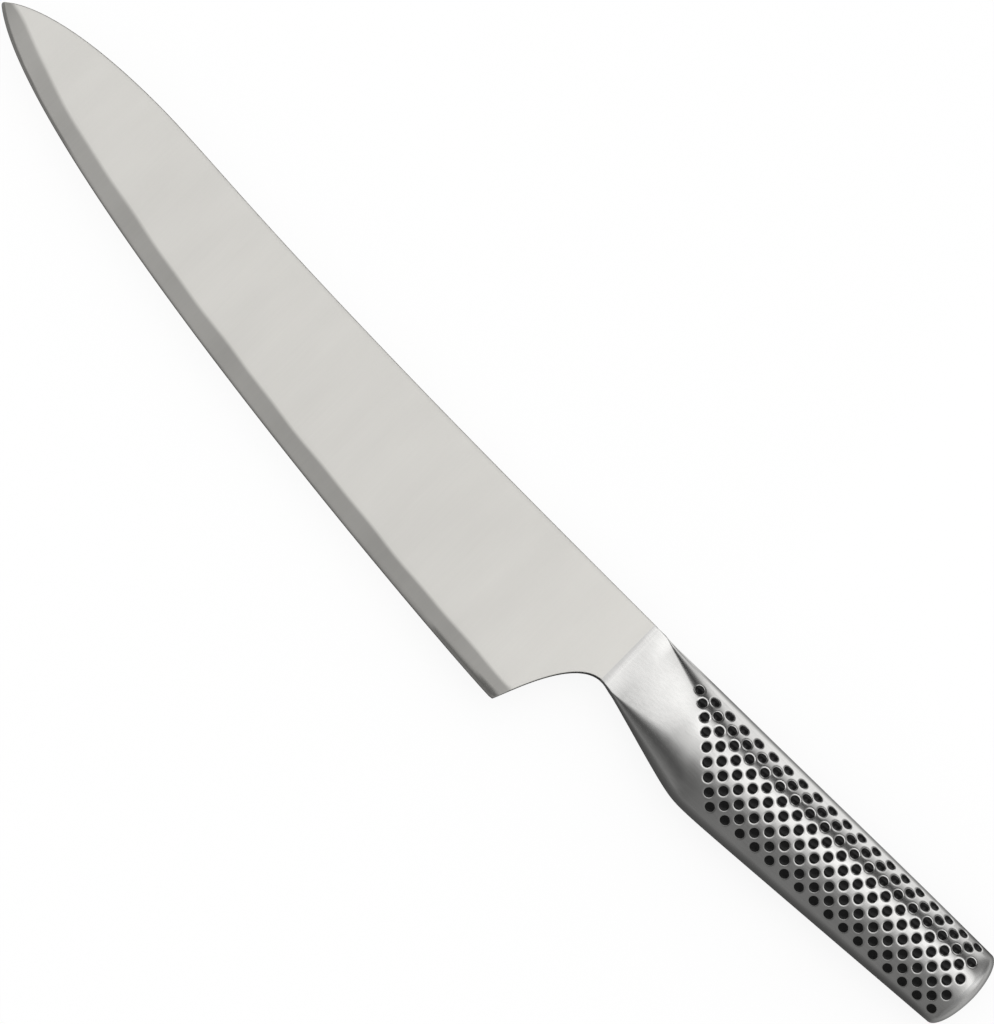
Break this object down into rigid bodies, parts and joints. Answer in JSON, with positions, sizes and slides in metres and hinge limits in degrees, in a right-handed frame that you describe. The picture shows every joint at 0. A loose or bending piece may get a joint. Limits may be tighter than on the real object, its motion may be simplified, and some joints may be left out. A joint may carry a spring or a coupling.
{
  "type": "carving knife",
  "caption": "Stainless steel carving knife with a long curved blade, ground edge bevel and hollow dimpled handle, lying flat on its side.",
  "frame": {"origin": "middle of the box of the knife as it lies on its right side, on the surface under it", "axes": "+X along the knife from tip to butt, +Y towards the spine, +Z out of the left face"},
  "size_m": [0.3474, 0.0474, 0.0166],
  "materials": {
    "blade_steel": "fine satin, ground across the blade",
    "handle_steel": "polished satin",
    "weld_steel": "ground flush and polished",
    "sand": "dry fine grains",
    "black_enamel": "baked black enamel"
  },
  "bodies": {
    "root": {"blade": "blade_steel", "handle_shell_left": "handle_steel", "handle_shell_right": "handle_steel", "butt_cap": "handle_steel", "filler_plug": "weld_steel", "balance_sand": "sand", "neck_weld": "weld_steel", "spine_seam_weld": "weld_steel", "belly_seam_weld": "weld_steel", "butt_weld": "weld_steel", "left_dimple_enamel": "black_enamel", "right_dimple_enamel": "black_enamel"}
  },
  "joints": []
}
